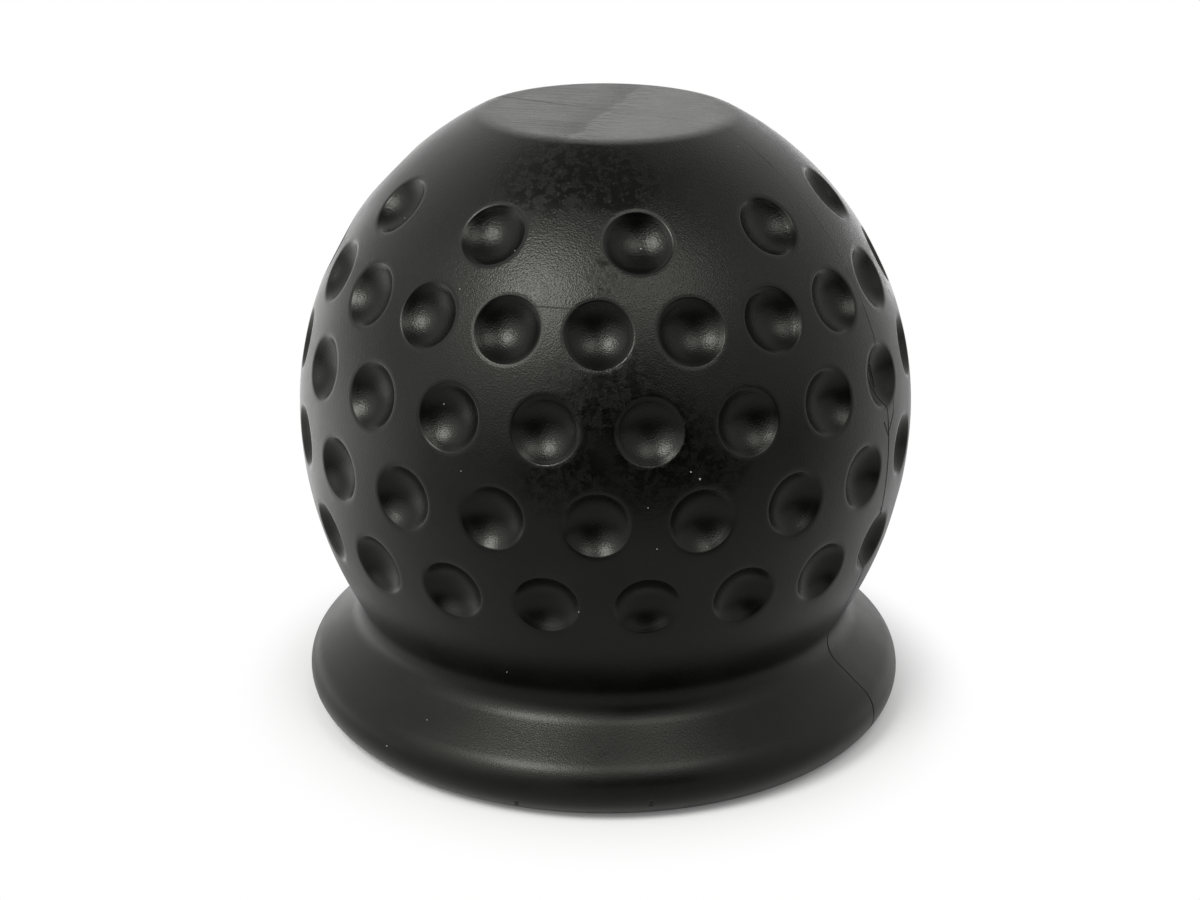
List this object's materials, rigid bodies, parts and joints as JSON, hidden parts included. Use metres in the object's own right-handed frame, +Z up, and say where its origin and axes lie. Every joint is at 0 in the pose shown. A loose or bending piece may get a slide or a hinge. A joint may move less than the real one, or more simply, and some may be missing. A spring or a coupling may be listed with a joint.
{
  "type": "tow ball cover",
  "caption": "Hollow black rubber cover that pushes over a tow ball: a dimpled ball with a flat crown on a flared round skirt, open underneath.",
  "frame": {"origin": "centre of the foot, in the plane that the skirt stands on", "axes": "+Z up along the axis of the ball, with the mould's parting plane in XZ"},
  "size_m": [0.065, 0.065, 0.0648],
  "materials": {
    "rubber": "satin black moulded rubber"
  },
  "bodies": {
    "root": {"tow_ball_cover": "rubber"}
  },
  "joints": []
}
